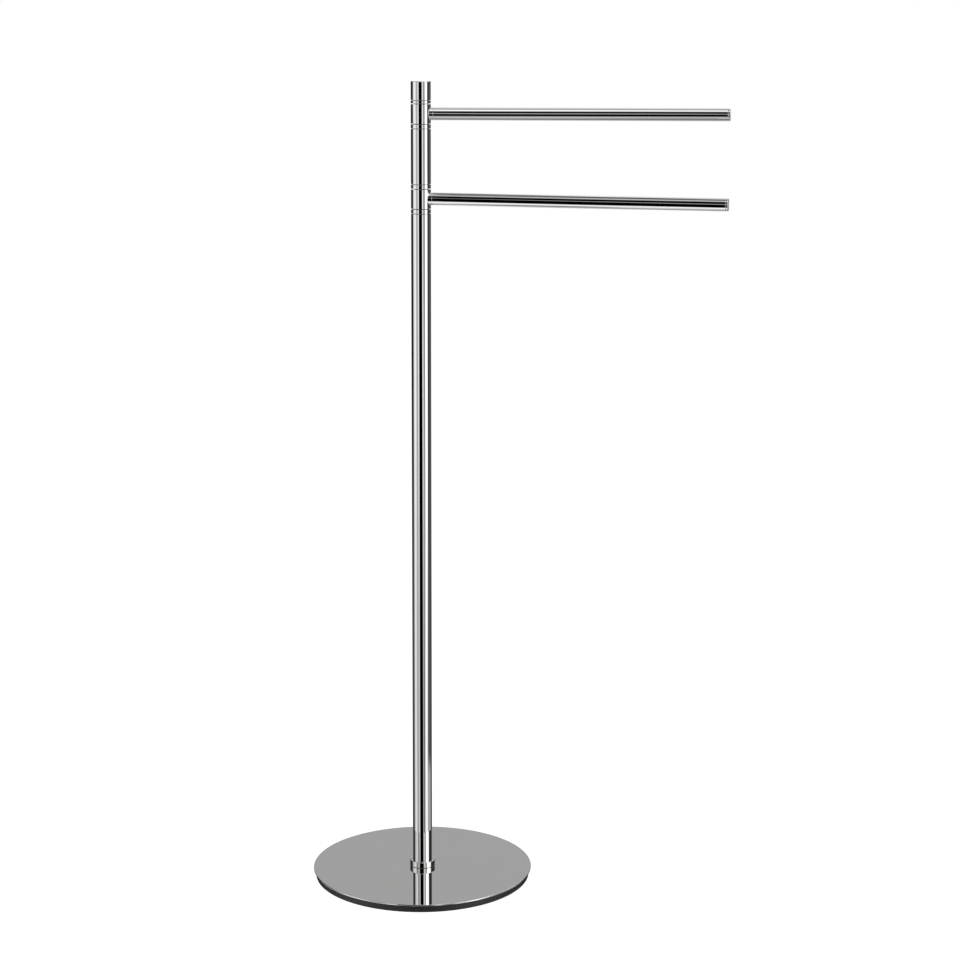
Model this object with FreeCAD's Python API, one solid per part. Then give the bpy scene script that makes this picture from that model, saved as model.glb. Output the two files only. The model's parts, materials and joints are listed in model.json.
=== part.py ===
"""Freestanding towel stand: a weighted round base, a slim post and two bars that swivel on it.

Millimetres, +Z up. The origin is on the post's axis, on the floor under the base. The upper bar
points along +X, and the lower one is parked a little towards the front, which is -Y.

From the floor up the post carries, all on one axis: main tube, ring, lower swivel, ring, middle
tube, ring, upper swivel, thin ring, cap. Each swivel is a sleeve lined with a bush that turns on
the journal of a spindle. The spindle's studs screw into the pieces below and above it, and clamp
the two rings against the journal's shoulders, so the sleeve keeps its running clearance.
"""
import FreeCAD
import Part

import math
import os

V = FreeCAD.Vector
ORIGIN = V(0, 0, 0)
UP = V(0, 0, 1)
PITCH_AXIS = V(0, 1, 0)

# ---- driving dimensions -------------------------------------------------------------------
TOTAL_HEIGHT = 905.0
BASE_DIAMETER = 250.0
POST_DIAMETER = 22.0
ARM_DIAMETER = 14.0
ARM_REACH = 337.0           # from the post's axis to the far face of the bar's end cap
LOWER_ARM_SWING = -10.0     # degrees about the post, where the lower bar is parked

# what shows of each piece at the head of the post, from the top down
CAP_HEIGHT = 20.5
THIN_RING_HEIGHT = 4.0
SWIVEL_GAP = 21.5           # between the two rings that a sleeve turns between
RING_HEIGHT = 5.5
MIDDLE_TUBE_LENGTH = 60.0

# base
PAD_THICKNESS = 1.5
BALLAST_THICKNESS = 6.5
COVER_THICKNESS = 1.5
BALLAST_INSET = 2.5         # how far the ballast's rim stands back under the cover's rim
PAD_INSET = 0.2             # and the pad's under the ballast's
PAD_HOLE_RADIUS = 18.0
COLLAR_DIAMETER = 29.0
COLLAR_HEIGHT = 6.8
COLLAR_CHAMFER = 0.8

# tubes and the plugs pressed into them
POST_WALL = 1.2
ARM_WALL = 1.0
FOOT_INSERT_LENGTH = 36.0
PLUG_LENGTH = 16.0
ARM_PLUG_LENGTH = 18.0
END_CAP_THICKNESS = 3.0
END_CAP_SPIGOT = 10.0

# threads, drawn as plain cylinders on their nominal radius
BASE_SCREW_RADIUS = 5.0
BASE_SCREW_LENGTH = 35.0
SCREW_HEAD_RADIUS = 10.0
SCREW_HEAD_RECESS = 0.5     # how far the countersunk head lies inside the ballast
SCREW_SOCKET_ACROSS = 6.0
SCREW_SOCKET_DEPTH = 3.5
STUD_RADIUS = 4.0
STUD_GRIP = 13.0            # length of thread in the plug or cap
STUD_SOCKET_ACROSS = 4.0
STUD_SOCKET_DEPTH = 5.0
ARM_STUD_RADIUS = 3.0
ARM_STUD_LENGTH = 18.0

# swivels
JOURNAL_RADIUS = 6.0
BUSH_WALL = 1.5
SLEEVE_END_GAP = 0.2        # between a sleeve's end and the ring beside it
BOSS_REACH = 13.4           # from the post's axis to the line where the bar's tube starts

# fits and edges
RUNNING_CLEARANCE = 0.05    # radial, bush on journal
END_PLAY = 0.05             # axial, at each end of a bush
LOOSE_FIT = 0.1             # radial, a thing slid over another
THREAD_FIT = 0.05           # radial, between a thread and its hole
RING_CHAMFER = 0.6          # makes the fine groove each side of a ring on the post
JOINT_CHAMFER = 0.3         # the same at each end of a bar's tube
COVER_CHAMFER = 0.4
CAP_CHAMFER = 0.8
END_CAP_CHAMFER = 1.0

# ---- worked out from them -----------------------------------------------------------------
POST_RADIUS = POST_DIAMETER / 2
POST_BORE = POST_RADIUS - POST_WALL
ARM_RADIUS = ARM_DIAMETER / 2
ARM_BORE = ARM_RADIUS - ARM_WALL
BASE_RADIUS = BASE_DIAMETER / 2
BUSH_RADIUS = JOURNAL_RADIUS + BUSH_WALL
SLEEVE_HEIGHT = SWIVEL_GAP - 2 * SLEEVE_END_GAP

BALLAST_BOTTOM = PAD_THICKNESS
COVER_BOTTOM = BALLAST_BOTTOM + BALLAST_THICKNESS
POST_FOOT = COVER_BOTTOM + COVER_THICKNESS

CAP_FOOT = TOTAL_HEIGHT - CAP_HEIGHT
UPPER_GAP_TOP = CAP_FOOT - THIN_RING_HEIGHT
UPPER_GAP_FOOT = UPPER_GAP_TOP - SWIVEL_GAP
MIDDLE_TOP = UPPER_GAP_FOOT - RING_HEIGHT
MIDDLE_FOOT = MIDDLE_TOP - MIDDLE_TUBE_LENGTH
LOWER_GAP_TOP = MIDDLE_FOOT - RING_HEIGHT
LOWER_GAP_FOOT = LOWER_GAP_TOP - SWIVEL_GAP
MAIN_TUBE_TOP = LOWER_GAP_FOOT - RING_HEIGHT


# ---- ways of making a piece ----------------------------------------------------------------
def turned(profile):
    """The solid that (radius, height) corners sweep about the Z axis."""
    corners = [V(radius, 0, height) for radius, height in profile]
    face = Part.Face(Part.makePolygon(corners + corners[:1]))
    return face.revolve(ORIGIN, UP, 360)


def laid_along_x(shape):
    """A piece turned about Z, tipped over so that its Z becomes +X."""
    tipped = shape.copy()
    tipped.rotate(ORIGIN, PITCH_AXIS, 90)
    return tipped


def ring(inner, outer, foot, height, foot_chamfer=0.0, top_chamfer=0.0):
    """A turned ring, with its outer edges chamfered."""
    top = foot + height
    profile = [(inner, foot), (outer - foot_chamfer, foot)]
    if foot_chamfer:
        profile.append((outer, foot + foot_chamfer))
    if top_chamfer:
        profile.append((outer, top - top_chamfer))
    profile += [(outer - top_chamfer, top), (inner, top)]
    return turned(profile)


def hex_socket(across_flats, foot, depth):
    """The hexagonal prism that a key's socket takes out of a screw's end."""
    corner_radius = across_flats / math.sqrt(3)
    corners = []
    for step in range(7):
        angle = math.radians(60 * step)
        corners.append(V(corner_radius * math.cos(angle), corner_radius * math.sin(angle), foot))
    return Part.Face(Part.makePolygon(corners)).extrude(V(0, 0, depth))


# ---- base ----------------------------------------------------------------------------------
def anti_slip_pad():
    outer = BASE_RADIUS - BALLAST_INSET - PAD_INSET
    return ring(PAD_HOLE_RADIUS, outer, 0, PAD_THICKNESS)


def ballast_plate():
    """A heavy disc, countersunk from below for the screw that holds the post."""
    outer = BASE_RADIUS - BALLAST_INSET
    head_face = BALLAST_BOTTOM + SCREW_HEAD_RECESS
    cone_end = head_face + SCREW_HEAD_RADIUS - BASE_SCREW_RADIUS
    head_hole = SCREW_HEAD_RADIUS + LOOSE_FIT
    shank_hole = BASE_SCREW_RADIUS + LOOSE_FIT
    return turned([
        (head_hole, BALLAST_BOTTOM),
        (outer, BALLAST_BOTTOM),
        (outer, COVER_BOTTOM),
        (shank_hole, COVER_BOTTOM),
        (shank_hole, cone_end),
        (head_hole, head_face),
    ])


def base_cover():
    """The thin plated disc that shows, its rim's upper edge softened."""
    return ring(BASE_SCREW_RADIUS + LOOSE_FIT, BASE_RADIUS, COVER_BOTTOM, COVER_THICKNESS,
                top_chamfer=COVER_CHAMFER)


def base_screw():
    """Countersunk screw, up through ballast and cover into the foot insert."""
    head_face = BALLAST_BOTTOM + SCREW_HEAD_RECESS
    shank = BASE_SCREW_RADIUS - THREAD_FIT
    screw = turned([
        (0, head_face),
        (SCREW_HEAD_RADIUS, head_face),
        (shank, head_face + SCREW_HEAD_RADIUS - shank),
        (shank, head_face + BASE_SCREW_LENGTH),
        (0, head_face + BASE_SCREW_LENGTH),
    ])
    return screw.cut(hex_socket(SCREW_SOCKET_ACROSS, head_face, SCREW_SOCKET_DEPTH))


def base_collar():
    return ring(POST_RADIUS + LOOSE_FIT, COLLAR_DIAMETER / 2, POST_FOOT, COLLAR_HEIGHT,
                top_chamfer=COLLAR_CHAMFER)


def foot_insert():
    """Plug fixed in the foot of the main tube, drilled blind for the base screw."""
    hole_end = POST_FOOT + FOOT_INSERT_LENGTH - BASE_SCREW_RADIUS
    return turned([
        (BASE_SCREW_RADIUS, POST_FOOT),
        (POST_BORE, POST_FOOT),
        (POST_BORE, POST_FOOT + FOOT_INSERT_LENGTH),
        (0, POST_FOOT + FOOT_INSERT_LENGTH),
        (0, hole_end),
        (BASE_SCREW_RADIUS, hole_end),
    ])


# ---- post ----------------------------------------------------------------------------------
def post_tube(foot, top):
    return ring(POST_BORE, POST_RADIUS, foot, top - foot)


def tube_plugs():
    """Threaded plugs, each pressed into a post tube flush with the tube's end."""
    feet = [MAIN_TUBE_TOP - PLUG_LENGTH, MIDDLE_FOOT, MIDDLE_TOP - PLUG_LENGTH]
    return Part.makeCompound([ring(STUD_RADIUS, POST_BORE, foot, PLUG_LENGTH) for foot in feet])


def clamp_rings():
    """The four rings beside the swivels, which the spindles' studs pass through."""
    places = [(MAIN_TUBE_TOP, RING_HEIGHT), (LOWER_GAP_TOP, RING_HEIGHT),
              (MIDDLE_TOP, RING_HEIGHT), (UPPER_GAP_TOP, THIN_RING_HEIGHT)]
    return Part.makeCompound([
        ring(STUD_RADIUS + LOOSE_FIT, POST_RADIUS, foot, height, RING_CHAMFER, RING_CHAMFER)
        for foot, height in places
    ])


def spindle(gap_foot, gap_top, upper_ring_height):
    """Journal between two studs. Its shoulders seat on the ring below and under the ring above."""
    stud = STUD_RADIUS - THREAD_FIT
    foot = gap_foot - RING_HEIGHT - STUD_GRIP
    top = gap_top + upper_ring_height + STUD_GRIP
    body = turned([
        (0, foot),
        (stud, foot),
        (stud, gap_foot),
        (JOURNAL_RADIUS, gap_foot),
        (JOURNAL_RADIUS, gap_top),
        (stud, gap_top),
        (stud, top),
        (0, top),
    ])
    return body.cut(hex_socket(STUD_SOCKET_ACROSS, top - STUD_SOCKET_DEPTH, STUD_SOCKET_DEPTH))


def top_cap():
    """Solid cap that screws onto the upper spindle."""
    hole_end = CAP_FOOT + STUD_GRIP + THREAD_FIT
    return turned([
        (STUD_RADIUS, CAP_FOOT),
        (POST_RADIUS, CAP_FOOT),
        (POST_RADIUS, TOTAL_HEIGHT - CAP_CHAMFER),
        (POST_RADIUS - CAP_CHAMFER, TOTAL_HEIGHT),
        (0, TOTAL_HEIGHT),
        (0, hole_end),
        (STUD_RADIUS, hole_end),
    ])


# ---- swivelling bar, made at the origin along +X ---------------------------------------------
def swivel_sleeve():
    """Sleeve with the bar's boss coped into it, bored for the bush and drilled for the stud."""
    half = SLEEVE_HEIGHT / 2
    barrel = ring(0, POST_RADIUS, -half, SLEEVE_HEIGHT)
    boss = laid_along_x(ring(0, ARM_RADIUS, 0, BOSS_REACH, top_chamfer=JOINT_CHAMFER))
    bore = ring(0, BUSH_RADIUS, -half, SLEEVE_HEIGHT)
    stud_hole = laid_along_x(ring(0, ARM_STUD_RADIUS, 0, BOSS_REACH))
    return barrel.fuse(boss).cut(bore).cut(stud_hole)


def sleeve_bush():
    """Bush pressed into the sleeve. It stands out at both ends and keeps metal off metal."""
    length = SWIVEL_GAP - 2 * END_PLAY
    return ring(JOURNAL_RADIUS + RUNNING_CLEARANCE, BUSH_RADIUS, -length / 2, length)


def arm_stud():
    """Headless stud that draws the bar's plug up to the boss."""
    start = BUSH_RADIUS + LOOSE_FIT
    return laid_along_x(ring(0, ARM_STUD_RADIUS - THREAD_FIT, start, ARM_STUD_LENGTH))


def arm_plug():
    return laid_along_x(ring(ARM_STUD_RADIUS, ARM_BORE, BOSS_REACH, ARM_PLUG_LENGTH))


def arm_tube():
    length = ARM_REACH - END_CAP_THICKNESS - BOSS_REACH
    return laid_along_x(ring(ARM_BORE, ARM_RADIUS, BOSS_REACH, length))


def arm_end_cap():
    """Cap with a softened edge and a spigot that is pressed into the tube."""
    face = ARM_REACH - END_CAP_THICKNESS
    return laid_along_x(turned([
        (0, face - END_CAP_SPIGOT),
        (ARM_BORE, face - END_CAP_SPIGOT),
        (ARM_BORE, face),
        (ARM_RADIUS - JOINT_CHAMFER, face),
        (ARM_RADIUS, face + JOINT_CHAMFER),
        (ARM_RADIUS, ARM_REACH - END_CAP_CHAMFER),
        (ARM_RADIUS - END_CAP_CHAMFER, ARM_REACH),
        (0, ARM_REACH),
    ]))


ARM_PIECES = {
    "sleeve": swivel_sleeve,
    "sleeve_bush": sleeve_bush,
    "arm_stud": arm_stud,
    "arm_plug": arm_plug,
    "arm_tube": arm_tube,
    "arm_end_cap": arm_end_cap,
}


def arm(level, gap_foot, swing):
    """Every piece of one bar, lifted to its swivel and swung round the post."""
    pieces = {}
    for name, make in ARM_PIECES.items():
        piece = make()
        piece.translate(V(0, 0, gap_foot + SWIVEL_GAP / 2))
        piece.rotate(ORIGIN, UP, swing)
        pieces[f"{level}_{name}"] = piece
    return pieces


# ---- the whole stand -----------------------------------------------------------------------
def stand():
    pieces = {
        "anti_slip_pad": anti_slip_pad(),
        "ballast_plate": ballast_plate(),
        "base_cover": base_cover(),
        "base_screw": base_screw(),
        "base_collar": base_collar(),
        "foot_insert": foot_insert(),
        "main_tube": post_tube(POST_FOOT, MAIN_TUBE_TOP),
        "middle_tube": post_tube(MIDDLE_FOOT, MIDDLE_TOP),
        "tube_plugs": tube_plugs(),
        "clamp_rings": clamp_rings(),
        "lower_spindle": spindle(LOWER_GAP_FOOT, LOWER_GAP_TOP, RING_HEIGHT),
        "upper_spindle": spindle(UPPER_GAP_FOOT, UPPER_GAP_TOP, THIN_RING_HEIGHT),
        "top_cap": top_cap(),
    }
    pieces.update(arm("lower", LOWER_GAP_FOOT, LOWER_ARM_SWING))
    pieces.update(arm("upper", UPPER_GAP_FOOT, 0.0))
    return pieces


os.makedirs("parts", exist_ok=True)
for node, shape in stand().items():
    if not shape.isValid():
        raise ValueError(f"{node} is not a valid solid")
    shape.exportStep(f"parts/{node}.step")
    print(f"{node}: {len(shape.Solids)} solid(s), {shape.Volume / 1000:.2f} cm3")
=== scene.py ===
"""Looks of the freestanding towel stand: polished chrome on a black ballast plate, in a pale studio.

Metres, in the frame's own axes: +Z up, the post on the Z axis, the upper bar along +X, the front
towards -Y. Every place and size comes from the frame's nodes. What shows is remade here with
smooth turned forms and softened edges, and rides on the body of the pieces that it stands for.
"""
import json
import math

import bmesh
import bpy
from mathutils import Matrix, Vector


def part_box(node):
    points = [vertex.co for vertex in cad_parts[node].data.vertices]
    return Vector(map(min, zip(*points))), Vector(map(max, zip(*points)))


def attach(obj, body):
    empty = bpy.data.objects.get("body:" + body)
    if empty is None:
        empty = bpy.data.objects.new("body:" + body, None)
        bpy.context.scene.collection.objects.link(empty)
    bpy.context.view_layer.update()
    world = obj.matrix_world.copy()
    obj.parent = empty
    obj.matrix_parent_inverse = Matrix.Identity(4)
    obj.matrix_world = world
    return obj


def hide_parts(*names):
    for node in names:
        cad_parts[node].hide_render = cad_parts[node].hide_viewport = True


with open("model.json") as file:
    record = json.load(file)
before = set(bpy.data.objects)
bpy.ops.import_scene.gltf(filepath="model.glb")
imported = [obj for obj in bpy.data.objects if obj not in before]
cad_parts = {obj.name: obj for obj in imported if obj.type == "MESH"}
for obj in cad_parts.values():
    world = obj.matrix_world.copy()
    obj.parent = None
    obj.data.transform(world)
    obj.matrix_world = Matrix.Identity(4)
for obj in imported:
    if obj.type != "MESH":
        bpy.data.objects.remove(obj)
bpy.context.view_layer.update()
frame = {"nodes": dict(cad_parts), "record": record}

bl_info = {
    "name": "Towel Stand",
    "version": (1, 0, 0),
    "blender": (4, 5, 0),
    "location": "View3D > Sidebar > Towel Stand",
    "description": "Makes a chrome towel stand with two swivelling bars, and the studio it stands in",
    "category": "Add Mesh",
}

MM = 0.001
FULL_TURN = 2 * math.pi
LEVELS = ("lower", "upper")


# ---- sizes read from the frame ---------------------------------------------------------------
def foot_of(node):
    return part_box(node)[0].z


def top_of(node):
    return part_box(node)[1].z


def height_of(node):
    return top_of(node) - foot_of(node)


def radius_of(node):
    """Outer radius of a node that is turned about the post's axis."""
    low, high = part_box(node)
    return max(-low.y, high.y, -low.x, high.x)


POST_RADIUS = radius_of("top_cap")
PLUG_RADIUS = radius_of("tube_plugs")
BUSH_RADIUS = radius_of("upper_sleeve_bush")
BAR_RADIUS = height_of("upper_arm_tube") / 2
BAR_BORE = height_of("upper_arm_plug") / 2
BAR_STUD_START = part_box("upper_arm_stud")[0].x
BAR_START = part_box("upper_arm_tube")[0].x
BAR_TUBE_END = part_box("upper_arm_tube")[1].x
BAR_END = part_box("upper_arm_end_cap")[1].x
SPIGOT_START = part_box("upper_arm_end_cap")[0].x
FLOOR = foot_of("anti_slip_pad")

# sizes of inner edges, which the nodes' boxes don't give
SLEEVE_END_GAP = 0.2 * MM    # between a sleeve's end and the ring beside it
STUD_HOLE_RADIUS = 4.1 * MM
BAR_STUD_HOLE_RADIUS = 3.0 * MM
CAP_HOLE_DEPTH = 13.0 * MM
PAD_HOLE_RADIUS = 18.0 * MM
SCREW_HOLE_RADIUS = 5.1 * MM
SCREW_HEAD_RECESS = 0.5 * MM
SCREW_HEAD_HOLE_RADIUS = 10.1 * MM
COLLAR_CLEARANCE = 0.1 * MM
COLLAR_GAP_REACH = 4         # times its own height, that the gap under the collar's rim runs in

# how finely a piece is made
TURN_STEPS = 256
BAR_STEPS = 160
ROUND_SEGMENTS = 5
SHARP_ANGLE = math.radians(30)
MERGE_DISTANCE = 0.001 * MM
TOUCH = 0.02 * MM            # how near a vertex lies to a place that it is picked by


def bar_height(level):
    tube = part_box(f"{level}_arm_tube")
    return (tube[0].z + tube[1].z) / 2


def bar_swing(level):
    """Angle of a bar about the post, from +X, taken from the middle of its end cap."""
    low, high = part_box(f"{level}_arm_end_cap")
    middle = (low + high) / 2
    return math.atan2(middle.y, middle.x)


def ring_places():
    """(name, foot, top) of each ring beside a swivel, from the pieces that it lies between."""
    return [
        ("ring_on_main_tube", top_of("main_tube"), foot_of("lower_sleeve") - SLEEVE_END_GAP),
        ("ring_under_middle_tube", top_of("lower_sleeve") + SLEEVE_END_GAP, foot_of("middle_tube")),
        ("ring_on_middle_tube", top_of("middle_tube"), foot_of("upper_sleeve") - SLEEVE_END_GAP),
        ("ring_under_cap", top_of("upper_sleeve") + SLEEVE_END_GAP, foot_of("top_cap")),
    ]


# ---- settings that a user would change -------------------------------------------------------
def length(name, description, default):
    return bpy.props.FloatProperty(name=name, description=description, default=default,
                                   min=0.0, precision=5, unit="LENGTH")


def colour(name, description, default):
    return bpy.props.FloatVectorProperty(name=name, description=description, default=default,
                                         size=3, min=0.0, max=1.0, subtype="COLOR")


def share(name, description, default):
    return bpy.props.FloatProperty(name=name, description=description, default=default,
                                   min=0.0, max=1.0, subtype="FACTOR")


def amount(name, description, default):
    return bpy.props.FloatProperty(name=name, description=description, default=default, min=0.0)


def angle(name, description, degrees):
    return bpy.props.FloatProperty(name=name, description=description, unit="ROTATION",
                                   default=math.radians(degrees))


class StandEdges(bpy.types.PropertyGroup):
    """How far each edge is softened."""
    groove_width: length("Groove width", "Height of the shadow gap beside each ring", 0.6 * MM)
    groove_depth: length("Groove depth", "Depth of the shadow gaps", 3.0 * MM)
    groove_edge: length("Groove edge", "Rounding of a ring's edge at its gap", 0.1 * MM)
    break_edge: length("Broken edge", "Rounding of a tube's or sleeve's sharp end", 0.15 * MM)
    cap: length("Cap", "Rounding of the cap's top edge", 0.9 * MM)
    collar: length("Collar", "Rounding of the foot collar's top edge", 0.6 * MM)
    collar_gap: length("Collar gap", "Height of the shadow gap under the foot collar's rim", 0.4 * MM)
    cover_rim: length("Cover rim", "Rounding of the base cover's rim", 0.45 * MM)
    ballast: length("Ballast", "Rounding of the ballast plate's lower edge", 0.15 * MM)
    pad: length("Pad", "Rounding of the anti-slip pad's lower edge", 0.1 * MM)
    bar_joint: length("Bar joint", "Rounding at both ends of a bar's tube", 0.25 * MM)
    bar_gap: length("Bar gap", "Width of the shadow gap at a bar's end cap", 0.6 * MM)
    bar_end: length("Bar end", "Rounding of a bar's end face", 1.1 * MM)
    cope: length("Cope", "Fillet where a sleeve's boss meets its barrel", 0.6 * MM)


class StandFinishes(bpy.types.PropertyGroup):
    """Colours and gloss of the stand's materials."""
    chrome: colour("Chrome", "Colour of the polished plate", (0.80, 0.796, 0.791))
    chrome_haze: colour("Chrome haze", "Colour of the plate where its polish is thinner",
                        (0.79, 0.786, 0.782))
    chrome_roughness: share("Chrome roughness", "Roughness of the clearest polish", 0.001)
    ballast: colour("Ballast paint", "Colour of the paint on the ballast plate", (0.013, 0.013, 0.014))
    rubber: colour("Rubber", "Colour of the anti-slip pad", (0.030, 0.030, 0.031))
    zinc: colour("Zinc plate", "Colour of the plated inner steel", (0.60, 0.61, 0.62))
    acetal: colour("Acetal", "Colour of the swivel bushes", (0.80, 0.79, 0.75))


class StudioSettings(bpy.types.PropertyGroup):
    """The studio that the stand is shown in."""
    floor: colour("Floor", "Colour of the floor", (0.95, 0.95, 0.95))
    lamp: amount("Lamp", "Power of the overhead lamp, in watts", 60.0)
    lens: amount("Lens", "Focal length on a 36 mm sensor, in millimetres", 90.11)
    camera_distance: length("Camera distance", "From the post's axis, along Y", 2.6333)
    camera_height: length("Camera height", "Above the floor", 1.0169)
    camera_side: length("Camera side", "To the right of the post", 0.0909)
    camera_pitch: angle("Camera pitch", "How far the camera looks down", 10.69)
    camera_roll: angle("Camera roll", "Turn about its own axis", 0.23)
    shift_x: bpy.props.FloatProperty(name="Shift X", description="Sideways lens shift", default=-0.024)
    shift_y: bpy.props.FloatProperty(name="Shift Y", description="Upright lens shift", default=-0.0521)


# ---- modelling -------------------------------------------------------------------------------
def select_vertices(piece, test):
    """Selects, in edit mode, only the vertices whose place passes the test."""
    mesh = bmesh.from_edit_mesh(piece.data)
    for part in (*mesh.faces, *mesh.edges, *mesh.verts):
        part.select = False
    for vertex in mesh.verts:
        vertex.select = test(vertex.co)
    mesh.select_flush_mode()
    bmesh.update_edit_mesh(piece.data)


def finish_mesh(piece):
    """Closes seams and poles, points faces outwards, and keeps flats flat beside their roundings."""
    bpy.ops.object.mode_set(mode="EDIT")
    bpy.ops.mesh.select_all(action="SELECT")
    bpy.ops.mesh.remove_doubles(threshold=MERGE_DISTANCE)
    bpy.ops.mesh.dissolve_degenerate(threshold=MERGE_DISTANCE)
    bpy.ops.mesh.select_all(action="SELECT")
    bpy.ops.mesh.normals_make_consistent(inside=False)
    bpy.ops.object.mode_set(mode="OBJECT")
    bpy.ops.object.shade_smooth_by_angle(angle=SHARP_ANGLE)
    weighted = piece.modifiers.new("flat flats", "WEIGHTED_NORMAL")
    weighted.keep_sharp = True
    bpy.ops.object.modifier_apply(modifier=weighted.name)


def turned(name, corners, steps=TURN_STEPS):
    """A piece turned about Z. Each corner of its section is (radius, height, rounding)."""
    bpy.ops.object.select_all(action="DESELECT")
    bpy.ops.mesh.primitive_circle_add(vertices=len(corners), fill_type="NOTHING")
    piece = bpy.context.object
    piece.name = piece.data.name = name
    bpy.ops.object.mode_set(mode="EDIT")
    bpy.ops.mesh.select_mode(type="VERT")
    section = bmesh.from_edit_mesh(piece.data)
    for vertex, (radius, height, _) in zip(section.verts, corners):
        vertex.co = (radius, 0.0, height)
    bmesh.update_edit_mesh(piece.data)
    for rounding in sorted({corner[2] for corner in corners if corner[2]}):
        places = [Vector((radius, 0, height)) for radius, height, r in corners if r == rounding]
        select_vertices(piece, lambda co: any((co - place).length < TOUCH for place in places))
        bpy.ops.mesh.bevel(offset=rounding, offset_type="OFFSET", segments=ROUND_SEGMENTS,
                           profile=0.5, affect="VERTICES")
    select_vertices(piece, lambda co: co.x < TOUCH)
    bpy.ops.mesh.delete(type="EDGE")
    bpy.ops.mesh.select_all(action="SELECT")
    bpy.ops.mesh.spin(steps=steps, angle=FULL_TURN, center=(0, 0, 0), axis=(0, 0, 1))
    bpy.ops.object.mode_set(mode="OBJECT")
    finish_mesh(piece)
    return piece


def lay(piece, height, swing):
    """Tips a piece turned about Z over to +X, lifts it to its swivel and swings it round the post."""
    piece.matrix_world = (Matrix.Translation((0, 0, height)) @ Matrix.Rotation(swing, 4, "Z")
                          @ Matrix.Rotation(math.pi / 2, 4, "Y"))
    apply_place(piece)
    return piece


def apply_place(piece):
    bpy.ops.object.select_all(action="DESELECT")
    piece.select_set(True)
    bpy.context.view_layer.objects.active = piece
    bpy.ops.object.transform_apply(location=True, rotation=True, scale=True)


def settle(piece, body, slot, *nodes):
    """Gives a finished piece its slot's material, its body and the nodes that it stands for."""
    piece.data.materials.clear()
    piece.data.materials.append(finish_of(slot))
    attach(piece, body)
    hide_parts(*nodes)


# ---- base --------------------------------------------------------------------------------------
def make_pad(edges):
    foot, top = FLOOR, top_of("anti_slip_pad")
    outer = radius_of("anti_slip_pad")
    return turned("rubber_pad", [
        (PAD_HOLE_RADIUS, foot, edges.pad),
        (outer, foot, edges.pad),
        (outer, top, 0),
        (PAD_HOLE_RADIUS, top, 0),
    ])


def make_ballast(edges):
    foot, top = foot_of("ballast_plate"), top_of("ballast_plate")
    outer = radius_of("ballast_plate")
    seat = foot + SCREW_HEAD_RECESS
    cone_top = seat + SCREW_HEAD_HOLE_RADIUS - SCREW_HOLE_RADIUS
    return turned("ballast_disc", [
        (SCREW_HEAD_HOLE_RADIUS, foot, 0),
        (outer, foot, edges.ballast),
        (outer, top, edges.break_edge),
        (SCREW_HOLE_RADIUS, top, 0),
        (SCREW_HOLE_RADIUS, cone_top, 0),
        (SCREW_HEAD_HOLE_RADIUS, seat, 0),
    ])


def make_cover(edges):
    foot, top = foot_of("base_cover"), top_of("base_cover")
    outer = radius_of("base_cover")
    return turned("cover_disc", [
        (SCREW_HOLE_RADIUS, foot, 0),
        (outer, foot, edges.cover_rim),
        (outer, top, edges.cover_rim),
        (SCREW_HOLE_RADIUS, top, 0),
    ])


def make_collar(edges):
    foot, top = foot_of("base_collar"), top_of("base_collar")
    outer = radius_of("base_collar")
    bore = POST_RADIUS + COLLAR_CLEARANCE
    return turned("foot_collar", [
        (bore, foot, 0),
        (outer - COLLAR_GAP_REACH * edges.collar_gap, foot, 0),
        (outer, foot + edges.collar_gap, edges.groove_edge),
        (outer, top, edges.collar),
        (bore, top, edges.break_edge),
    ])


# ---- post --------------------------------------------------------------------------------------
def make_post_tube(edges, name, node):
    foot, top = foot_of(node), top_of(node)
    return turned(name, [
        (PLUG_RADIUS, foot, 0),
        (POST_RADIUS, foot, edges.break_edge),
        (POST_RADIUS, top, edges.break_edge),
        (PLUG_RADIUS, top, 0),
    ])


def make_ring(edges, name, foot, top):
    """A ring falls away at both ends, and the deep narrow gaps make the dark lines beside it."""
    waist = POST_RADIUS - edges.groove_depth
    rim_foot, rim_top = foot + edges.groove_width, top - edges.groove_width
    return turned(name, [
        (STUD_HOLE_RADIUS, foot, 0),
        (waist, foot, 0),
        (POST_RADIUS, rim_foot, edges.groove_edge),
        (POST_RADIUS, rim_top, edges.groove_edge),
        (waist, top, 0),
        (STUD_HOLE_RADIUS, top, 0),
    ])


def make_cap(edges):
    foot, top = foot_of("top_cap"), top_of("top_cap")
    hole_end = foot + CAP_HOLE_DEPTH
    return turned("cap_piece", [
        (STUD_HOLE_RADIUS, foot, 0),
        (POST_RADIUS, foot, edges.break_edge),
        (POST_RADIUS, top, edges.cap),
        (0, top, 0),
        (0, hole_end, 0),
        (STUD_HOLE_RADIUS, hole_end, 0),
    ])


# ---- bars --------------------------------------------------------------------------------------
def make_bar_tube(edges, level_name):
    tube = turned(f"{level_name}_bar_tube", [
        (BAR_BORE, BAR_START, 0),
        (BAR_RADIUS, BAR_START, edges.bar_joint),
        (BAR_RADIUS, BAR_TUBE_END, edges.bar_joint),
        (BAR_BORE, BAR_TUBE_END, 0),
    ], BAR_STEPS)
    return lay(tube, bar_height(level_name), bar_swing(level_name))


def make_bar_end(edges, level_name):
    end = turned(f"{level_name}_bar_end", [
        (0, SPIGOT_START, 0),
        (BAR_BORE, SPIGOT_START, edges.bar_joint),
        (BAR_BORE, BAR_TUBE_END, 0),
        (BAR_RADIUS, BAR_TUBE_END + edges.bar_gap, edges.break_edge),
        (BAR_RADIUS, BAR_END, edges.bar_end),
        (0, BAR_END, 0),
    ], BAR_STEPS)
    return lay(end, bar_height(level_name), bar_swing(level_name))


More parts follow.
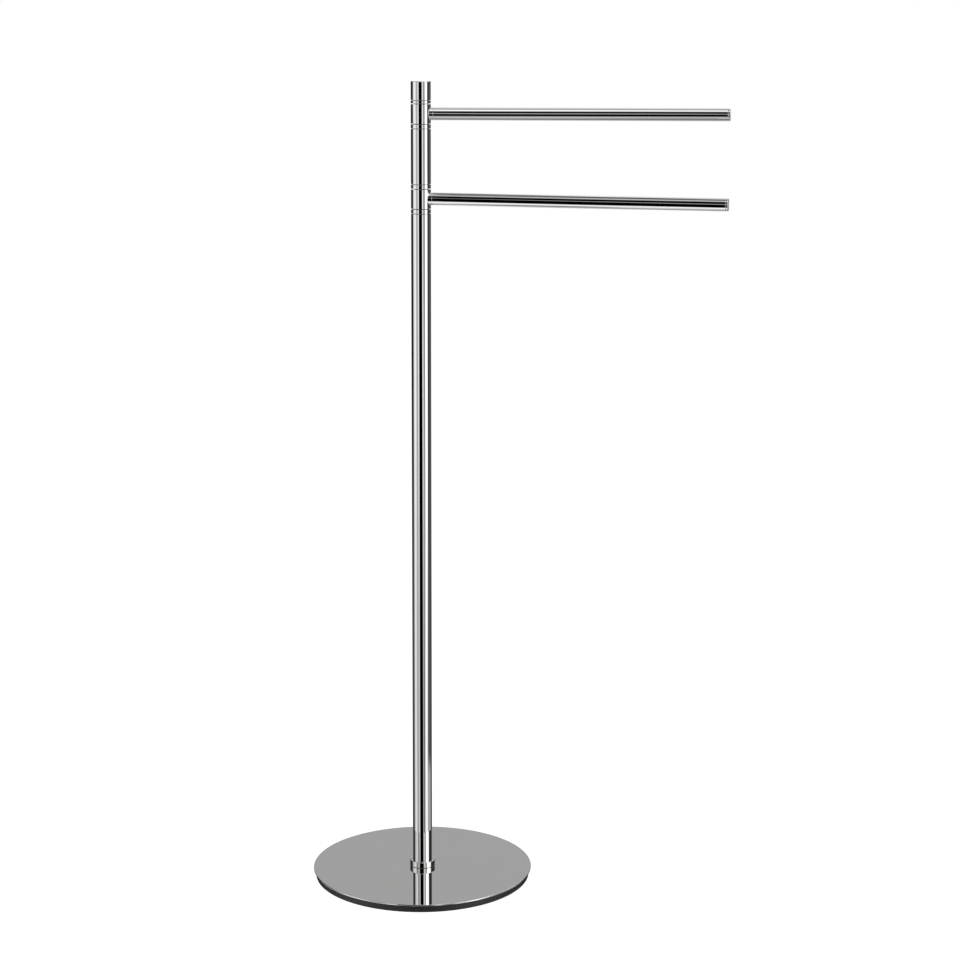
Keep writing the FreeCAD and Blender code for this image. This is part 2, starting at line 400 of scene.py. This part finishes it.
# ---- swivel sleeve -----------------------------------------------------------------------------
SIDE_STEPS = 32              # along each side of the patch of barrel round the boss
BACK_STEPS = 96              # round the rest of the barrel
FILLET_STEPS = 8
SPREAD_STEPS = 10            # from the fillet out to the patch's sides
PATCH_HALF_ANGLE = math.radians(60)


def patch_outline(half_height):
    """Points round the patch's four sides, unrolled: (distance round the barrel, height)."""
    half_width = PATCH_HALF_ANGLE * POST_RADIUS
    corners = [(half_width, -half_height), (half_width, half_height),
               (-half_width, half_height), (-half_width, -half_height)]
    points = []
    for start, end in zip(corners, corners[1:] + corners[:1]):
        for step in range(SIDE_STEPS):
            part = step / SIDE_STEPS
            points.append((start[0] + (end[0] - start[0]) * part,
                           start[1] + (end[1] - start[1]) * part))
    return points


def on_barrel(round_distance, height):
    turn = round_distance / POST_RADIUS
    return Vector((POST_RADIUS * math.cos(turn), POST_RADIUS * math.sin(turn), height))


def boss_and_patch(outline, edges):
    """Rings of points from the boss's end face, over the cope's fillet and on to the patch's sides."""
    fillet, joint = edges.cope, edges.bar_joint
    rings = []
    turns = [math.atan2(height, distance) for distance, height in outline]
    for step in range(ROUND_SEGMENTS + 1):
        bend = math.pi / 2 * step / ROUND_SEGMENTS
        radius = BAR_RADIUS - joint + joint * math.sin(bend)
        x = BAR_START - joint + joint * math.cos(bend)
        rings.append([Vector((x, radius * math.cos(t), radius * math.sin(t))) for t in turns])
    spans = []
    for t in turns:
        ball = BAR_RADIUS + fillet
        y, z = ball * math.cos(t), ball * math.sin(t)
        x = math.sqrt((POST_RADIUS + fillet) ** 2 - y * y)
        centre = Vector((x, y, z))
        to_boss = Vector((0, -math.cos(t), -math.sin(t)))
        to_barrel = Vector((-x, -y, 0)).normalized()
        spans.append((centre, to_boss, to_barrel))
    for step in range(FILLET_STEPS + 1):
        part = step / FILLET_STEPS
        rings.append([centre + fillet * a.slerp(b, part) for centre, a, b in spans])
    hole = []
    for point in rings[-1]:
        hole.append((POST_RADIUS * math.atan2(point.y, point.x), point.z))
    for step in range(1, SPREAD_STEPS + 1):
        part = step / SPREAD_STEPS
        rings.append([on_barrel(h[0] + (o[0] - h[0]) * part, h[1] + (o[1] - h[1]) * part)
                      for h, o in zip(hole, outline)])
    return rings


def grid_piece(name, rows, closed):
    """A grid primitive whose points are laid on the given rows of points."""
    columns = len(rows[0])
    wide = columns + 1 if closed else columns
    bpy.ops.object.select_all(action="DESELECT")
    bpy.ops.mesh.primitive_grid_add(x_subdivisions=wide - 1, y_subdivisions=len(rows) - 1, size=1)
    piece = bpy.context.object
    piece.name = piece.data.name = name
    for index, vertex in enumerate(piece.data.vertices):
        row, column = divmod(index, wide)
        vertex.co = rows[row][column % columns]
    return piece


def make_sleeve(edges, level_name):
    """Barrel with the bar's boss coped into it, bored for the bush and drilled for the stud."""
    half_height = height_of(f"{level_name}_sleeve") / 2
    outline = patch_outline(half_height)
    front = grid_piece("sleeve_front", boss_and_patch(outline, edges), closed=True)
    heights = [-half_height + 2 * half_height * step / SIDE_STEPS for step in range(SIDE_STEPS + 1)]
    turns = [PATCH_HALF_ANGLE + (FULL_TURN - 2 * PATCH_HALF_ANGLE) * step / BACK_STEPS
             for step in range(BACK_STEPS + 1)]
    back = grid_piece("sleeve_back", [[on_barrel(turn * POST_RADIUS, height) for turn in turns]
                                      for height in heights], closed=False)
    bpy.ops.object.select_all(action="DESELECT")
    front.select_set(True)
    back.select_set(True)
    bpy.context.view_layer.objects.active = front
    bpy.ops.object.join()
    sleeve = bpy.context.object
    sleeve.name = sleeve.data.name = f"{level_name}_swivel_sleeve"
    bpy.ops.object.mode_set(mode="EDIT")
    bpy.ops.mesh.select_mode(type="VERT")
    bpy.ops.mesh.select_all(action="SELECT")
    bpy.ops.mesh.remove_doubles(threshold=MERGE_DISTANCE)
    shrink = BUSH_RADIUS / POST_RADIUS
    for end in (-half_height, half_height):
        select_vertices(sleeve, lambda co: abs(co.z - end) < TOUCH
                        and co.xy.length > POST_RADIUS - TOUCH)
        bpy.ops.mesh.extrude_edges_move()
        bpy.ops.transform.resize(value=(shrink, shrink, 1), center_override=(0, 0, end))
    select_vertices(sleeve, lambda co: abs(co.xy.length - BUSH_RADIUS) < TOUCH
                    and abs(abs(co.z) - half_height) < TOUCH)
    bpy.ops.mesh.bridge_edge_loops()
    hole_share = BAR_STUD_HOLE_RADIUS / (BAR_RADIUS - edges.bar_joint)
    select_vertices(sleeve, lambda co: co.x > BAR_START - TOUCH)
    bpy.ops.mesh.extrude_edges_move()
    bpy.ops.transform.resize(value=(1, hole_share, hole_share), center_override=(BAR_START, 0, 0))
    bpy.ops.mesh.extrude_edges_move()
    bpy.ops.transform.translate(value=(BAR_STUD_START - BAR_START, 0, 0))
    bpy.ops.mesh.edge_face_add()
    bpy.ops.object.mode_set(mode="OBJECT")
    finish_mesh(sleeve)
    sleeve.matrix_world = (Matrix.Translation((0, 0, bar_height(level_name)))
                           @ Matrix.Rotation(bar_swing(level_name), 4, "Z"))
    apply_place(sleeve)
    return sleeve


# ---- shader nodes ------------------------------------------------------------------------------
class Wire:
    """A shader socket on which Python's operators add Math nodes."""

    def __init__(self, graph, socket):
        self.graph = graph
        self.socket = socket

    def math(self, operation, *others):
        values = dict(enumerate((self, *others)))
        return self.graph.add("ShaderNodeMath", {"operation": operation}, values)

    def __add__(self, other):
        return self.math("ADD", other)

    def __sub__(self, other):
        return self.math("SUBTRACT", other)

    def __rsub__(self, other):
        return self.graph.add("ShaderNodeMath", {"operation": "SUBTRACT"}, {0: other, 1: self})

    def __mul__(self, other):
        return self.math("MULTIPLY", other)

    def __neg__(self):
        return self * -1.0

    __radd__ = __add__


class Graph:
    """The nodes of one material or world."""

    def __init__(self, owner):
        owner.use_nodes = True
        self.nodes = owner.node_tree.nodes
        self.links = owner.node_tree.links
        self.nodes.clear()

    def add(self, kind, settings=None, sockets=None, output=0):
        """One node, from its type, its settings and its sockets' values or wires, as one output."""
        node = self.nodes.new(kind)
        for name, value in (settings or {}).items():
            if name == "stops":
                set_stops(node.color_ramp, value)
            else:
                setattr(node, name, value)
        for name, value in (sockets or {}).items():
            if isinstance(value, Wire):
                self.links.new(value.socket, node.inputs[name])
            else:
                node.inputs[name].default_value = value
        return Wire(self, node.outputs[output]) if len(node.outputs) else None

    def mixed(self, share_wire, first, second):
        """A colour between two colours."""
        return self.add("ShaderNodeMix", {"data_type": "RGBA"},
                        {0: share_wire, 6: first, 7: second}, 2)

    def blend(self, share_wire, first, second):
        """A number between two numbers."""
        return first + (second - first) * share_wire

    def split(self, vector):
        """The X, Y and Z of a vector."""
        node = self.add("ShaderNodeSeparateXYZ", None, {0: vector}).socket.node
        return [Wire(self, output) for output in node.outputs]

    def smooth(self, wire, start, end):
        """0 before start, 1 after end, smooth between."""
        return self.add("ShaderNodeMapRange", {"interpolation_type": "SMOOTHSTEP"},
                        {0: wire, 1: start, 2: end, 3: 0.0, 4: 1.0})

    def band(self, wire, rise, fall):
        """1 between two edges and 0 outside them. Each edge is where its blend starts and ends."""
        return self.smooth(wire, *rise) * (1.0 - self.smooth(wire, *fall))

    def noise(self, place, scale, detail, stretch=(1, 1, 1)):
        mapped = self.add("ShaderNodeMapping", None, {"Vector": place, "Scale": stretch})
        return self.add("ShaderNodeTexNoise", None,
                        {"Vector": mapped, "Scale": scale, "Detail": detail})

    def bump(self, height, strength, distance):
        return self.add("ShaderNodeBump", None,
                        {"Height": height, "Strength": strength, "Distance": distance})

    def surface(self, sockets):
        shader = self.add("ShaderNodeBsdfPrincipled", None, sockets)
        self.add("ShaderNodeOutputMaterial", None, {"Surface": shader})


def set_stops(ramp, stops):
    """Stops are (position, grey level) from 0 to 1, in order."""
    ramp.interpolation = "LINEAR"
    while len(ramp.elements) > 1:
        ramp.elements.remove(ramp.elements[-1])
    for index, (position, grey) in enumerate(stops):
        element = ramp.elements[0] if index == 0 else ramp.elements.new(position)
        element.position = position
        element.color = (grey, grey, grey, 1)


def opaque(rgb, gain=1.0):
    return (rgb[0] * gain, rgb[1] * gain, rgb[2] * gain, 1.0)


FINISH_PREFIX = "stand_"      # the frame's own plain materials have the bare slot names


def new_material(name):
    material = bpy.data.materials.new(FINISH_PREFIX + name)
    return material, Graph(material)


# ---- finishes ----------------------------------------------------------------------------------
def chrome_plate(finishes):
    """Mirror-bright plate: a breath of haze from polishing, and hairlines too fine to see singly."""
    material, graph = new_material("chrome_plate")
    place = graph.add("ShaderNodeTexCoord", output="Object")
    haze = graph.smooth(graph.noise(place, scale=38.0, detail=4.0), start=0.35, end=0.75)
    hairlines = graph.noise(place, scale=900.0, detail=2.0, stretch=(1.0, 1.0, 0.05))
    ripple = graph.noise(place, scale=60.0, detail=1.0)
    graph.surface({
        "Base Color": graph.mixed(haze, opaque(finishes.chrome), opaque(finishes.chrome_haze)),
        "Metallic": 1.0,
        "Roughness": finishes.chrome_roughness + haze * 0.0015 + hairlines * 0.001,
        "Normal": graph.bump(ripple, strength=0.01, distance=0.02 * MM),
    })
    return material


def satin_paint(finishes):
    """Black paint with a fine orange peel, a little dusty where it is rougher."""
    material, graph = new_material("ballast_black")
    place = graph.add("ShaderNodeTexCoord", output="Object")
    peel = graph.noise(place, scale=1400.0, detail=2.0)
    cloud = graph.noise(place, scale=45.0, detail=3.0)
    graph.surface({
        "Base Color": graph.mixed(cloud, opaque(finishes.ballast), opaque(finishes.ballast, gain=1.35)),
        "Roughness": 0.36 + cloud * 0.16,
        "Normal": graph.bump(peel, strength=0.25, distance=0.04 * MM),
    })
    return material


def foam_rubber(finishes):
    """Matte closed-cell rubber with pores about a millimetre across; their hollows carry painted shade.
    """
    material, graph = new_material("anti_slip_rubber")
    place = graph.add("ShaderNodeTexCoord", output="Object")
    pores = graph.add("ShaderNodeTexVoronoi", None, {"Vector": place, "Scale": 900.0})
    pits_and_shade = graph.smooth(pores, start=0.15, end=0.6)
    graph.surface({
        # the pores' hollows are painted darker than the rubber round them: painted shade, not the
        # rubber's colour
        "Base Color": graph.mixed(pits_and_shade, opaque(finishes.rubber, gain=0.45),
                                  opaque(finishes.rubber, gain=1.2)),
        "Roughness": 0.88 - pits_and_shade * 0.08,
        "Normal": graph.bump(pits_and_shade, strength=0.6, distance=0.15 * MM),
    })
    return material


def zinc_plate(finishes):
    """Turned steel under bright zinc: fine tool rings and a patchy, faintly blue or straw tint."""
    material, graph = new_material("zinc_plated_steel")
    place = graph.add("ShaderNodeTexCoord", output="Object")
    patches = graph.smooth(graph.noise(place, scale=160.0, detail=3.0), start=0.35, end=0.7)
    tool_rings = graph.noise(place, scale=1500.0, detail=1.0, stretch=(0.06, 0.06, 1.0))
    straw = opaque((finishes.zinc[0] * 1.05, finishes.zinc[1] * 1.01, finishes.zinc[2] * 0.92))
    graph.surface({
        "Base Color": graph.mixed(patches, opaque(finishes.zinc), straw),
        "Metallic": 1.0,
        "Roughness": 0.26 + patches * 0.12,
        "Normal": graph.bump(tool_rings, strength=0.3, distance=0.03 * MM),
    })
    return material


def acetal(finishes):
    """Natural acetal, faintly uneven, with turning marks."""
    material, graph = new_material("acetal_bush")
    place = graph.add("ShaderNodeTexCoord", output="Object")
    cloud = graph.noise(place, scale=220.0, detail=2.0)
    marks = graph.noise(place, scale=2200.0, detail=1.0, stretch=(0.05, 0.05, 1.0))
    graph.surface({
        "Base Color": graph.mixed(cloud, opaque(finishes.acetal), opaque(finishes.acetal, gain=0.93)),
        "Roughness": 0.38 + cloud * 0.1,
        "Normal": graph.bump(marks, strength=0.3, distance=0.02 * MM),
    })
    return material


FINISHES = {
    "chrome_plate": chrome_plate,
    "ballast_black": satin_paint,
    "anti_slip_rubber": foam_rubber,
    "zinc_plated_steel": zinc_plate,
    "acetal_bush": acetal,
}


def finish_of(slot):
    """The material of a slot, made the first time that it is asked for."""
    made = bpy.data.materials.get(FINISH_PREFIX + slot)
    return made or FINISHES[slot](bpy.context.scene.stand_finishes)


# ---- studio ------------------------------------------------------------------------------------
# What the chrome sees round it: (degrees from the front, towards the right, light level). It reads
# as soft boxes and dark flags all round the stand, with the camera in the dark gap in front. These
# five tables were first read off a least-squares fit to the photograph's grey levels along the
# post, the bars and the plate, then rounded, and retuned against the photograph.
LEVEL_STRIPS = (
    (-180, 1.1), (-168, 0.9), (-162, 0.05), (-106, 0.0), (-102, 0.2), (-96, 0.65), (-88, 1.0),
    (-78, 0.95), (-70, 1.25), (-62, 0.95), (-54, 0.5), (-38, 0.5), (-34, 0.9), (-28, 1.15),
    (-24.5, 0.9), (-23, 0.05), (11, 0.0), (13, 0.1), (16, 1.0), (22, 1.1), (27, 0.5), (31, 0.33),
    (45, 0.36), (49, 0.85), (54, 1.8), (74, 1.9), (78, 0.5), (82, 0.1), (96, 0.03), (122, 0.12),
    (162, 0.05), (168, 0.9),
)
# The same, seen 20 degrees down.
LOW_STRIPS = (
    (-180, 0.3), (-160, 0.02), (-140, 0.02), (-118, 0.12), (-108, 0.08), (-102, 0.2),
    (-92, 0.62), (-86, 1.0), (-72, 0.92), (-62, 0.66), (-50, 0.4), (-44, 0.41), (-38, 0.6),
    (-32, 0.77), (-26, 0.6), (-22.5, 0.1), (12, 0.05), (15, 0.45), (21, 0.6), (24, 0.1),
    (33, 0.08), (36, 0.5), (40, 1.0), (46, 0.8), (53, 1.25), (61, 1.5), (66, 0.9), (74, 0.6),
    (78, 0.12), (124, 0.08), (136, 0.05),
)
# The same, seen 20 degrees up.
HIGH_STRIPS = (
    (-180, 0.43), (-160, 0.42), (-150, 0.04), (-103, 0.04), (-94, 0.48), (-87, 0.78), (-76, 0.82),
    (-66, 1.05), (-59, 0.88), (-52, 0.46), (-45, 0.26), (-39, 0.32), (-32, 0.7), (-26, 0.68),
    (-21, 0.4), (-15, 0.0), (10, 0.0), (14, 0.3), (19, 0.9), (25, 0.98), (31, 0.38), (37, 0.32),
    (42, 0.7), (48, 1.8), (54, 2.3), (69, 2.3), (78, 1.4), (84, 0.6), (88, 0.04), (146, 0.04),
    (156, 0.38), (164, 0.43),
)
# What it sees over the top and underneath, to the right of the post and to the left of it:
# (degrees up from the front and over to the back, light level).
RIGHT_ARC = (
    (-180, 1.3), (-145, 1.0), (-130, 0.45), (-112, 0.2), (-104, 0.25), (-80, 0.25), (-70, 0.75),
    (-64, 0.85), (-60, 0.55), (-52, 0.47), (-43, 0.5), (-38, 0.2), (-34, 0.0), (-2, 0.0), (3, 0.35),
    (7, 0.6), (12, 0.5), (15.5, 0.0), (40, 0.0), (47, 0.3), (55, 0.75), (61, 1.25), (72, 1.4),
    (78, 0.95), (84, 0.5), (90, 0.35), (98, 0.55), (108, 0.4), (120, 0.7), (145, 1.3), (180, 1.3),
)
LEFT_ARC = (
    (-180, 1.45), (-140, 1.4), (-125, 0.65), (-115, 0.36), (-102, 0.58), (-92, 0.6), (-83, 0.93),
    (-70, 0.95), (-60, 1.25), (-54, 1.1), (-50, 0.4), (-47, 0.0), (-38, 0.0), (5, 0.0), (8, 0.42),
    (13, 0.5), (16, 0.3), (18, 0.0), (52, 0.0), (60, 0.35), (66, 0.7), (72, 0.75), (79, 0.38),
    (87, 0.18), (100, 0.07), (118, 0.16), (135, 0.33), (145, 0.8), (155, 1.3), (180, 1.45),
)
BRIGHTEST = 4.0              # a ramp's stops end at 1, so levels are stored as shares of this

# Where the tables run into one another. A pair is where a blend starts and ends, in degrees.
BELT_TO_LOW = (9.0, 18.0)            # down from level
BELT_TO_HIGH = (6.0, 16.0)           # up from level
BELT_TO_ARCS = (25.0, 32.0)          # up or down from level
GAP_LEFT = (-23.9, -23.0)            # the dark gap in front, where the arcs show at every height
GAP_RIGHT = (10.0, 13.0)
GAP_FLAG_FOOT = (19.0, 20.2)         # a dark flag across the arcs, up from the front
GAP_FLAG_TOP = (34.0, 36.0)
SIDE_FLAG_LEFT = (76.0, 80.0)        # the dark flag at the right, with a paler foot
SIDE_FLAG_RIGHT = (112.0, 126.0)
SIDE_FLAG_FOOT = (18.3, 18.9)        # down from level
SIDE_FLAG_FOOT_LEVEL = 0.45

# The arcs against a direction's sideways part, from -1 at the left to 1 at the right.
LEFT_TO_RIGHT_ARC = (-0.06, -0.03)
RIGHT_LEAN = 80.0                    # degrees that the right arc leans over, per unit of it
RIGHT_LEAN_START = 0.01              # this far left of the middle
RIGHT_LEAN_END = (0.09, 0.11)        # where the lean fades out again
LEFT_LEAN = 90.0
LEFT_LEAN_START = 0.25               # this far left of the middle
LEFT_LEAN_REACH = 0.1                # how much further out it still grows


def ramp_over_turn(graph, degrees, table):
    stops = [((at + 180) / 360, grey / BRIGHTEST) for at, grey in table]
    ramp = graph.add("ShaderNodeValToRGB", {"stops": stops}, {0: degrees * (1 / 360) + 0.5})
    return ramp * BRIGHTEST


def studio_world():
    """White to the camera, and soft boxes and dark flags to everything else."""
    world = bpy.data.worlds.new("studio")
    bpy.context.scene.world = world
    graph = Graph(world)
    x, y, z = graph.split(graph.add("ShaderNodeTexCoord", output="Generated"))
    to_degrees = 180 / math.pi
    towards_front = -y
    azimuth = x.math("ARCTAN2", towards_front) * to_degrees
    over = z.math("ARCTAN2", towards_front) * to_degrees
    elevation = z.math("ARCSINE") * to_degrees

    belt = ramp_over_turn(graph, azimuth, LEVEL_STRIPS)
    low = ramp_over_turn(graph, azimuth, LOW_STRIPS)
    high = ramp_over_turn(graph, azimuth, HIGH_STRIPS)
    belt = graph.blend(graph.smooth(-elevation, *BELT_TO_LOW), belt, low)
    belt = graph.blend(graph.smooth(elevation, *BELT_TO_HIGH), belt, high)
    flag_foot = (graph.band(azimuth, SIDE_FLAG_LEFT, SIDE_FLAG_RIGHT)
                 * graph.smooth(-elevation, *SIDE_FLAG_FOOT))
    belt = graph.blend(flag_foot, belt, SIDE_FLAG_FOOT_LEVEL)

    right_lean = ((x + RIGHT_LEAN_START).math("MAXIMUM", 0.0) * RIGHT_LEAN
                  * (1.0 - graph.smooth(x, *RIGHT_LEAN_END)))
    left_lean = ((-x - LEFT_LEAN_START).math("MAXIMUM", 0.0).math("MINIMUM", LEFT_LEAN_REACH)
                 * LEFT_LEAN)
    right = ramp_over_turn(graph, over - right_lean, RIGHT_ARC)
    left = ramp_over_turn(graph, over - left_lean, LEFT_ARC)
    arc = graph.blend(graph.smooth(x, *LEFT_TO_RIGHT_ARC), left, right)
    arc = arc * (1.0 - graph.band(over, GAP_FLAG_FOOT, GAP_FLAG_TOP))

    gap = graph.band(azimuth, GAP_LEFT, GAP_RIGHT)
    off_belt = gap.math("MAXIMUM", graph.smooth(elevation.math("ABSOLUTE"), *BELT_TO_ARCS))
    seen = graph.blend(off_belt, belt, arc)
    path = graph.add("ShaderNodeLightPath", output="Is Camera Ray")
    strength = graph.blend(path, seen, 1.0)
    background = graph.add("ShaderNodeBackground", None,
                           {"Color": (1, 1, 1, 1), "Strength": strength})
    graph.add("ShaderNodeOutputWorld", None, {"Surface": background})


FLOOR_RADIUS = 6.0
FLOOR_STEPS = 96
FLOOR_GRAIN = 0.99           # how dark the floor's faint grain is, as a share of its colour
FLOOR_GLOW = 1.12            # what lifts the floor to white for the camera
FLOOR_GLOW_SHARE = 0.85      # the rest of what the camera sees is paint, which takes the shadow


def make_floor(studio):
    """A wide pale floor. The camera sees it as white, less the stand's soft shadow."""
    bpy.ops.object.select_all(action="DESELECT")
    bpy.ops.mesh.primitive_circle_add(vertices=FLOOR_STEPS, radius=FLOOR_RADIUS, fill_type="NGON",
                                      location=(0, 0, FLOOR))
    floor = bpy.context.object
    floor.name = floor.data.name = "studio_floor"
    material, graph = new_material("pale_floor")
    path = graph.add("ShaderNodeLightPath", output="Is Camera Ray")
    place = graph.add("ShaderNodeTexCoord", output="Object")
    grain = graph.noise(place, scale=3.0, detail=3.0)
    paint = graph.add("ShaderNodeBsdfDiffuse", None, {
        "Color": graph.mixed(grain, opaque(studio.floor), opaque(studio.floor, FLOOR_GRAIN))})
    glow = graph.add("ShaderNodeEmission", None, {"Color": (1, 1, 1, 1), "Strength": FLOOR_GLOW})
    mix = graph.add("ShaderNodeMixShader", None, {0: path * FLOOR_GLOW_SHARE, 1: paint, 2: glow})
    graph.add("ShaderNodeOutputMaterial", None, {"Surface": mix})
    floor.data.materials.append(material)
    floor.visible_glossy = False


LAMP_SIZE = 1.6
LAMP_PLACE = Vector((-0.5, -0.7, 2.6))
LAMP_TARGET = Vector((0, 0, 0.3))


def make_lamp(studio):
    """A broad lamp for the soft shadow on the floor. Neither the camera nor the chrome sees it."""
    bpy.ops.object.select_all(action="DESELECT")
    bpy.ops.object.light_add(type="AREA", location=LAMP_PLACE)
    lamp = bpy.context.object
    lamp.name = "overhead_lamp"
    lamp.data.shape = "DISK"
    lamp.data.size = LAMP_SIZE
    lamp.data.energy = studio.lamp
    lamp.rotation_euler = (LAMP_TARGET - LAMP_PLACE).to_track_quat("-Z", "Y").to_euler()
    lamp.visible_glossy = False
    lamp.visible_camera = False


def make_camera(studio):
    bpy.ops.object.select_all(action="DESELECT")
    bpy.ops.object.camera_add()
    camera = bpy.context.object
    camera.name = "studio_camera"
    camera.data.lens = studio.lens
    camera.data.shift_x = studio.shift_x
    camera.data.shift_y = studio.shift_y
    camera.matrix_world = (
        Matrix.Translation((studio.camera_side, -studio.camera_distance, studio.camera_height))
        @ Matrix.Rotation(math.pi / 2 - studio.camera_pitch, 4, "X")
        @ Matrix.Rotation(studio.camera_roll, 4, "Z"))
    bpy.context.scene.camera = camera


# ---- operators ---------------------------------------------------------------------------------
class StandOperator(bpy.types.Operator):
    """Shared by the operators below: each makes its pieces."""
    bl_options = {"REGISTER", "UNDO"}

    def execute(self, context):
        self.make(context.scene.stand_edges)
        return {"FINISHED"}


class STAND_OT_base(StandOperator):
    """Make the pad, the ballast plate, the cover and the foot collar."""
    bl_idname = "towel_stand.base"
    bl_label = "Base"

    def make(self, edges):
        settle(make_pad(edges), "stand", "anti_slip_rubber", "anti_slip_pad")
        settle(make_ballast(edges), "stand", "ballast_black", "ballast_plate")
        settle(make_cover(edges), "stand", "chrome_plate", "base_cover")
        settle(make_collar(edges), "stand", "chrome_plate", "base_collar")


class STAND_OT_post(StandOperator):
    """Make the two post tubes, the four rings and the cap."""
    bl_idname = "towel_stand.post"
    bl_label = "Post"

    def make(self, edges):
        settle(make_post_tube(edges, "main_post", "main_tube"), "stand", "chrome_plate", "main_tube")
        settle(make_post_tube(edges, "middle_post", "middle_tube"), "stand", "chrome_plate",
               "middle_tube")
        for name, foot, top in ring_places():
            settle(make_ring(edges, name, foot, top), "stand", "chrome_plate", "clamp_rings")
        settle(make_cap(edges), "stand", "chrome_plate", "top_cap")


class STAND_OT_bars(StandOperator):
    """Make each bar's sleeve, tube and end cap."""
    bl_idname = "towel_stand.bars"
    bl_label = "Bars"

    def make(self, edges):
        for name in LEVELS:
            body = f"{name}_bar"
            settle(make_sleeve(edges, name), body, "chrome_plate", f"{name}_sleeve")
            settle(make_bar_tube(edges, name), body, "chrome_plate", f"{name}_arm_tube")
            settle(make_bar_end(edges, name), body, "chrome_plate", f"{name}_arm_end_cap")


class STAND_OT_inner(StandOperator):
    """Give the inner pieces, which keep the frame's shapes, their finishes."""
    bl_idname = "towel_stand.inner"
    bl_label = "Inner pieces"

    def make(self, edges):
        slots = {part["node"]: part["material_slot"] for part in frame["record"]["subparts"]}
        for node, piece in frame["nodes"].items():
            piece.data.materials.clear()
            piece.data.materials.append(finish_of(slots[node]))


class STAND_OT_stage(bpy.types.Operator):
    """Make the floor, the light and the camera."""
    bl_idname = "towel_stand.stage"
    bl_label = "Studio"
    bl_options = {"REGISTER", "UNDO"}

    def execute(self, context):
        studio = context.scene.stand_studio
        context.scene.view_settings.view_transform = "Standard"
        studio_world()
        make_floor(studio)
        make_lamp(studio)
        make_camera(studio)
        return {"FINISHED"}


OPERATORS = (STAND_OT_base, STAND_OT_post, STAND_OT_bars, STAND_OT_inner, STAND_OT_stage)


class STAND_PT_panel(bpy.types.Panel):
    """Lists the steps that make the stand, and its settings."""
    bl_idname = "STAND_PT_panel"
    bl_label = "Towel Stand"
    bl_space_type = "VIEW_3D"
    bl_region_type = "UI"
    bl_category = "Towel Stand"

    def draw(self, context):
        for operator in OPERATORS:
            self.layout.operator(operator.bl_idname)
        for settings in (context.scene.stand_edges, context.scene.stand_finishes,
                         context.scene.stand_studio):
            box = self.layout.box()
            for name in settings.__annotations__:
                box.prop(settings, name)


CLASSES = (StandEdges, StandFinishes, StudioSettings, *OPERATORS, STAND_PT_panel)


def register():
    for cls in CLASSES:
        bpy.utils.register_class(cls)
    bpy.types.Scene.stand_edges = bpy.props.PointerProperty(type=StandEdges)
    bpy.types.Scene.stand_finishes = bpy.props.PointerProperty(type=StandFinishes)
    bpy.types.Scene.stand_studio = bpy.props.PointerProperty(type=StudioSettings)


def unregister():
    del bpy.types.Scene.stand_studio
    del bpy.types.Scene.stand_finishes
    del bpy.types.Scene.stand_edges
    for cls in reversed(CLASSES):
        bpy.utils.unregister_class(cls)


def main():
    register()
    bpy.ops.towel_stand.base()
    bpy.ops.towel_stand.post()
    bpy.ops.towel_stand.bars()
    bpy.ops.towel_stand.inner()
    bpy.ops.towel_stand.stage()


if __name__ == "__main__":
    main()
